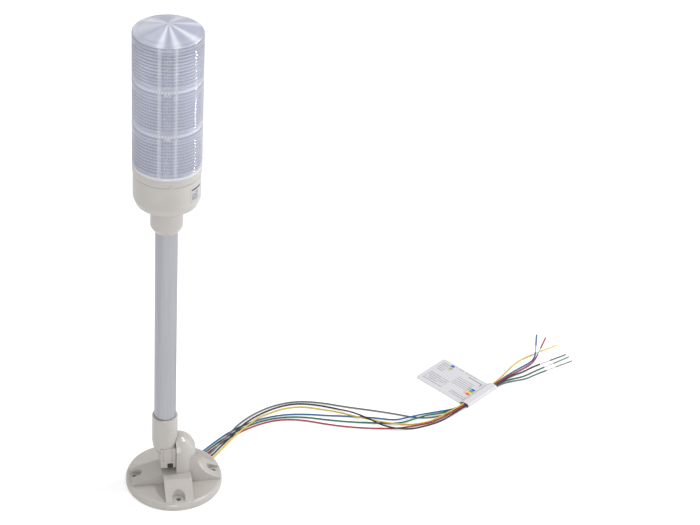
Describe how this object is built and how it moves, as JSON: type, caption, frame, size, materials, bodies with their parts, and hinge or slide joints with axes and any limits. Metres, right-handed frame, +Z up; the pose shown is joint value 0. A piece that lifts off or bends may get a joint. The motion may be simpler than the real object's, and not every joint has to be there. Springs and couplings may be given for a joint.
{
  "type": "stack light",
  "caption": "Stack light: clear ribbed cylindrical cover in equal tiers on a round body, a slim tube and a folding round foot, with loose leads and a paper wiring tag.",
  "frame": {"origin": "centre of the foot's underside, on the surface it stands on", "axes": "+Z up along the tube, X along the foot's hinge axis with the ear on the +X side, front with the lock button towards -Y"},
  "size_m": [0.4747, 0.2307, 0.485],
  "materials": {
    "casting": "satin",
    "steel": "satin",
    "dark_steel": "satin",
    "black_plastic": "matte",
    "aluminium": "satin",
    "loom": "matte",
    "body": "semi-gloss",
    "board": "matte",
    "clear": "clear gloss",
    "white_board": "matte",
    "reflector": "gloss",
    "led": "gloss",
    "copper": "bright",
    "paper": "matte",
    "wire_black": "matte",
    "wire_grey": "matte",
    "wire_yellow": "matte",
    "wire_red": "matte",
    "wire_blue": "matte",
    "wire_green": "matte"
  },
  "bodies": {
    "foot": {"base_casting": "casting", "hinge_screw": "steel", "lead_black": "wire_black", "conductor_black": "copper", "sleeve_black": "wire_black", "lead_grey": "wire_grey", "conductor_grey": "copper", "sleeve_grey": "wire_grey", "lead_yellow": "wire_yellow", "conductor_yellow": "copper", "sleeve_yellow": "wire_yellow", "lead_red": "wire_red", "conductor_red": "copper", "sleeve_red": "wire_red", "lead_blue": "wire_blue", "conductor_blue": "copper", "sleeve_blue": "wire_blue", "lead_green": "wire_green", "conductor_green": "copper", "sleeve_green": "wire_green", "wire_tag": "paper"},
    "mast": {"pole_holder": "casting", "holder_set_screw": "dark_steel", "pole_tube": "aluminium", "lead_loom": "loom", "body_housing": "body", "neck_set_screw": "dark_steel", "terminal_board": "board", "latch_spring": "steel"},
    "lock": {"latch_button": "black_plastic"},
    "light": {"collar": "body", "lens_cover": "clear", "led_board_lower": "white_board", "reflector_lower": "reflector", "leds_lower": "led", "led_board_middle": "white_board", "reflector_middle": "reflector", "leds_middle": "led", "led_board_upper": "white_board", "reflector_upper": "reflector", "leds_upper": "led"}
  },
  "joints": [
    {"name": "pole_fold", "type": "hinge", "parent": "foot", "child": "mast", "pos_m": [-0.007, 0, 0.039], "axis": [1, 0, 0], "range_deg": [0, 90]},
    {"name": "lock_press", "type": "slide", "parent": "mast", "child": "lock", "axis": [0, 1, 0], "range_m": [0, 0.0025], "stiffness_N_per_m": 600, "springref_m": -0.0008, "deforming": ["latch_spring"]},
    {"name": "light_twist", "type": "hinge", "parent": "mast", "child": "light", "pos_m": [-0.0091, 0, 0.3435], "axis": [0, 0, 1], "range_deg": [0, 15]}
  ]
}
